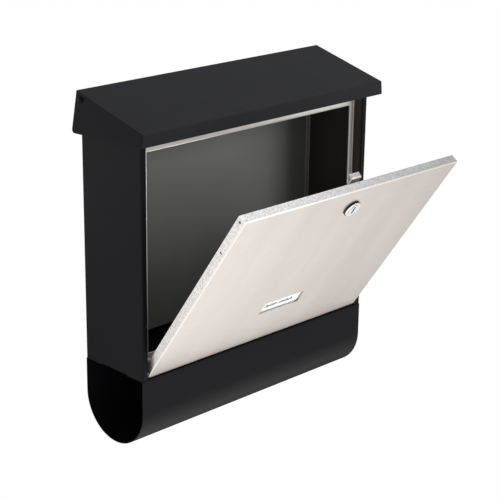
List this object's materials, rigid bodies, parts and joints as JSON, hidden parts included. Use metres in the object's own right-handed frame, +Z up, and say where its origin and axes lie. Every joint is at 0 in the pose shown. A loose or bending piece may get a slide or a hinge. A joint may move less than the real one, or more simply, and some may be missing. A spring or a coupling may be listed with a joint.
{
  "type": "wall mounted mailbox",
  "caption": "Wall mailbox with a sloping hinged lid, a drop-front stainless door with cam lock and name plate, and an open newspaper tray below.",
  "frame": {"origin": "middle of the back panel's rear face, on the wall", "axes": "+X to the right as seen from the front, +Y into the wall, +Z up; the front faces -Y"},
  "size_m": [0.392, 0.2492, 0.409],
  "materials": {
    "paint": "anthracite powder coat, satin",
    "grey_coat": "thin grey coat on zinc",
    "stainless": "fine brushed stainless steel",
    "galvanised": "bright galvanised steel",
    "chrome": "polished chrome plate",
    "rubber": "matte black",
    "nylon": "natural nylon",
    "clear": "clear plastic window",
    "paper": "white card",
    "white_plastic": "white moulded plastic"
  },
  "bodies": {
    "casing": {"casing_wrap": "paint", "back_plate": "grey_coat", "front_frame": "galvanised", "floor_panel": "paint", "top_panel": "paint", "newspaper_tray": "paint", "tray_rivet_front_left": "galvanised", "tray_rivet_front_middle": "galvanised", "tray_rivet_front_right": "galvanised", "tray_rivet_rear_left": "galvanised", "tray_rivet_rear_middle": "galvanised", "tray_rivet_rear_right": "galvanised", "lid_pivot_pin_left": "paint", "lid_pivot_pin_right": "paint", "lid_spacer_left": "nylon", "lid_spacer_right": "nylon", "lid_bumper_left": "rubber", "lid_bumper_right": "rubber", "door_hinge_pin_left": "galvanised", "door_hinge_pin_right": "galvanised", "door_buffer_left": "rubber", "door_buffer_right": "rubber"},
    "lid": {"lid_cover": "paint"},
    "door": {"door_skin": "stainless", "door_hinge_bush_left": "nylon", "door_hinge_bush_right": "nylon", "name_window": "clear", "name_card": "paper", "card_holder": "white_plastic", "lock_housing": "chrome", "lock_seal": "rubber", "lock_nut": "galvanised"},
    "lock_cylinder": {"lock_plug": "chrome", "lock_cam": "galvanised", "cam_washer": "galvanised", "cam_screw": "galvanised"}
  },
  "joints": [
    {"name": "lid_hinge", "type": "hinge", "parent": "casing", "child": "lid", "pos_m": [0, -0.012, 0.1575], "axis": [-1, 0, 0], "range_deg": [0, 75]},
    {"name": "door_hinge", "type": "hinge", "parent": "casing", "child": "door", "pos_m": [0, -0.096, -0.1445], "axis": [1, 0, 0], "range_deg": [-34.7, 0]},
    {"name": "lock_turn", "type": "hinge", "parent": "door", "child": "lock_cylinder", "pos_m": [0.009, -0.23218, 0.04339], "axis": [0, 0.8221, 0.5693], "range_deg": [0, 90]}
  ]
}
